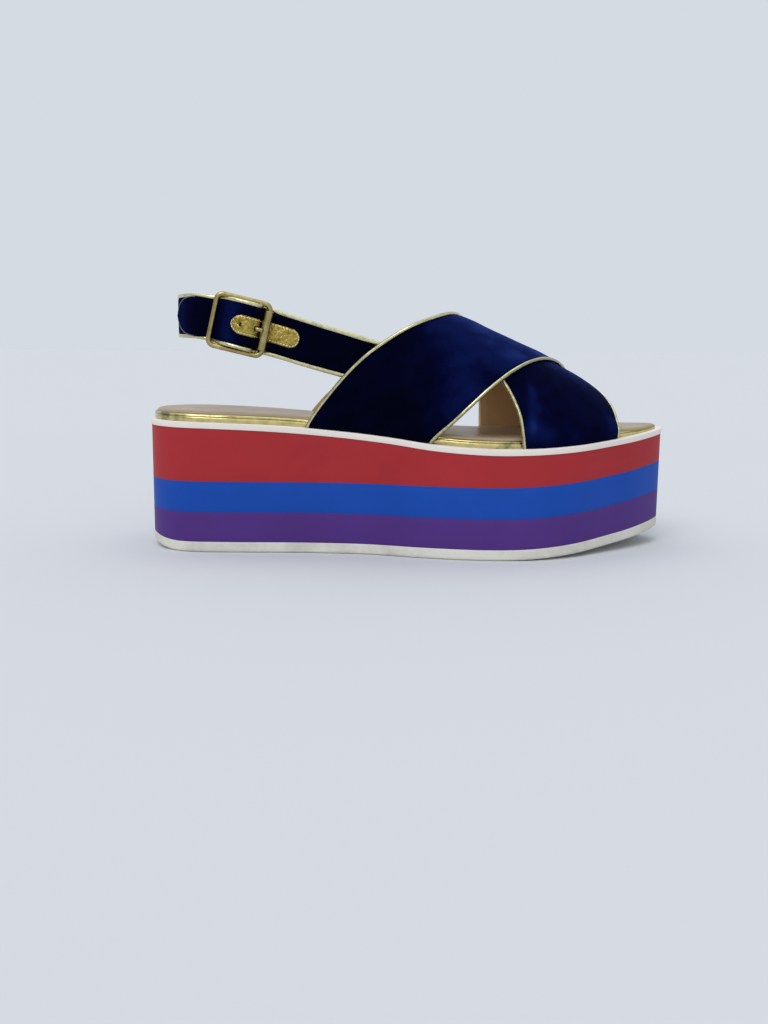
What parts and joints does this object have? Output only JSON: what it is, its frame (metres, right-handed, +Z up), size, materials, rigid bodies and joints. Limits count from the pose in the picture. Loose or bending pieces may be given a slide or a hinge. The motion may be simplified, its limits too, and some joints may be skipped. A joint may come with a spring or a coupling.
{
  "type": "platform sandal",
  "caption": "Right platform sandal with crossed vamp straps edged in piping, a banded platform sole and a buckled heel strap.",
  "frame": {"origin": "middle of the footprint's bounding box, on the floor under the sole", "axes": "+X from heel to toe, +Y to the medial side of the right foot, +Z up"},
  "size_m": [0.25, 0.0896, 0.1185],
  "materials": {
    "outsole": "matt off-white",
    "platform_purple": "smooth satin",
    "platform_blue": "smooth satin",
    "platform_red": "smooth satin",
    "platform_white": "smooth satin off-white",
    "insole_leather": "smooth beige",
    "velvet": "short-pile navy velvet",
    "gold_leather": "metallic gold foil",
    "brass": "satin antique"
  },
  "bodies": {
    "root": {"outsole": "outsole", "platform_purple": "platform_purple", "platform_blue": "platform_blue", "platform_red": "platform_red", "platform_white": "platform_white", "insole": "insole_leather", "insole_rim": "gold_leather", "upper": "velvet", "sling_strap": "velvet", "heel_strap": "velvet", "hole_patch": "gold_leather", "piping_over_rear": "gold_leather", "piping_over_front": "gold_leather", "piping_under_front_lateral": "gold_leather", "piping_under_rear_lateral": "gold_leather", "piping_under_rear_medial": "gold_leather", "piping_under_front_medial": "gold_leather", "piping_sling_top": "gold_leather", "piping_sling_bottom": "gold_leather", "piping_heel_top": "gold_leather", "piping_heel_bottom": "gold_leather", "buckle_frame": "brass", "buckle_roller": "brass", "buckle_prong": "brass"}
  },
  "joints": []
}
